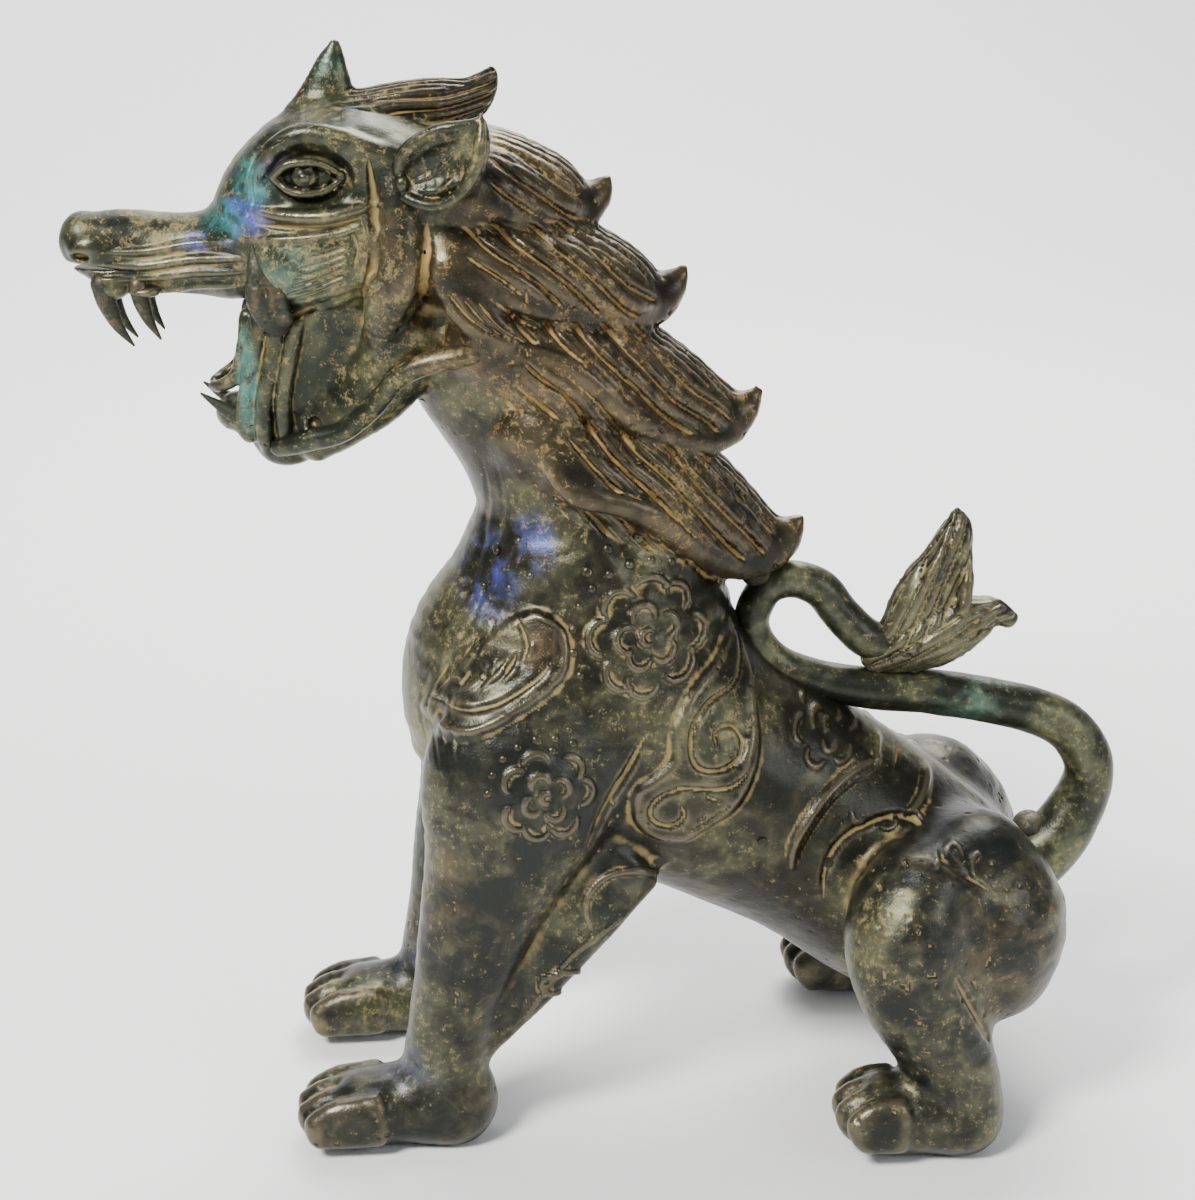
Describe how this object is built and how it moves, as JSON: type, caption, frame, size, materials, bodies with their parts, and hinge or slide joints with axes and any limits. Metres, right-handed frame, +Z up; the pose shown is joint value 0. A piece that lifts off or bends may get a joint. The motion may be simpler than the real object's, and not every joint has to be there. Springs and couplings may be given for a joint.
{
  "type": "foo dog statue",
  "caption": "Seated guardian beast in dark patinated bronze, mouth wide open, with a swept flame mane, relief scrolls and a looped tail with a tuft.",
  "frame": {"origin": "on the ground plane under the middle of the figure's box, on its mid plane", "axes": "+Z up, the beast faces -X, its left flank is on -Y and its right flank on +Y"},
  "size_m": [0.3096, 0.138, 0.32],
  "materials": {
    "body_bronze": "dark olive brown patina, polished on high spots, ochre in recesses",
    "leg_bronze": "dark olive to blue black patina with worn high spots",
    "head_bronze": "olive and verdigris patina with turquoise on the snout",
    "mane_bronze": "brown patina with ochre between the engraved strands",
    "tooth_bronze": "dark patina worn to copper at the tips",
    "tail_bronze": "olive patina with pale green patches",
    "braze": "rough orange brown braze",
    "inner_bronze": "as cast, uncoloured"
  },
  "bodies": {
    "root": {"beard_strand_left": "head_bronze", "beard_strand_right": "head_bronze", "braze_beads": "braze", "brow_horn": "head_bronze", "cheek_tusk_left": "tooth_bronze", "cheek_tusk_right": "tooth_bronze", "core_pins": "inner_bronze", "crown_lock": "mane_bronze", "ear_left": "head_bronze", "ear_right": "head_bronze", "elbow_flame_left": "leg_bronze", "elbow_flame_right": "leg_bronze", "front_leg_left": "leg_bronze", "front_leg_right": "leg_bronze", "head_shell": "head_bronze", "hind_leg_left": "leg_bronze", "hind_leg_right": "leg_bronze", "leg_joint_dowels": "inner_bronze", "lower_fang_left": "tooth_bronze", "lower_fang_right": "tooth_bronze", "lower_jaw": "head_bronze", "mane_lock_1": "mane_bronze", "mane_lock_2": "mane_bronze", "mane_lock_3": "mane_bronze", "mane_lock_4": "mane_bronze", "neck_joint_sleeve": "inner_bronze", "neck_shell": "body_bronze", "tail_joint_dowels": "inner_bronze", "tail_stem": "tail_bronze", "tail_tuft": "tail_bronze", "torso_shell": "body_bronze", "upper_fang_front_left": "tooth_bronze", "upper_fang_front_right": "tooth_bronze", "upper_fang_rear_left": "tooth_bronze", "upper_fang_rear_right": "tooth_bronze"}
  },
  "joints": []
}
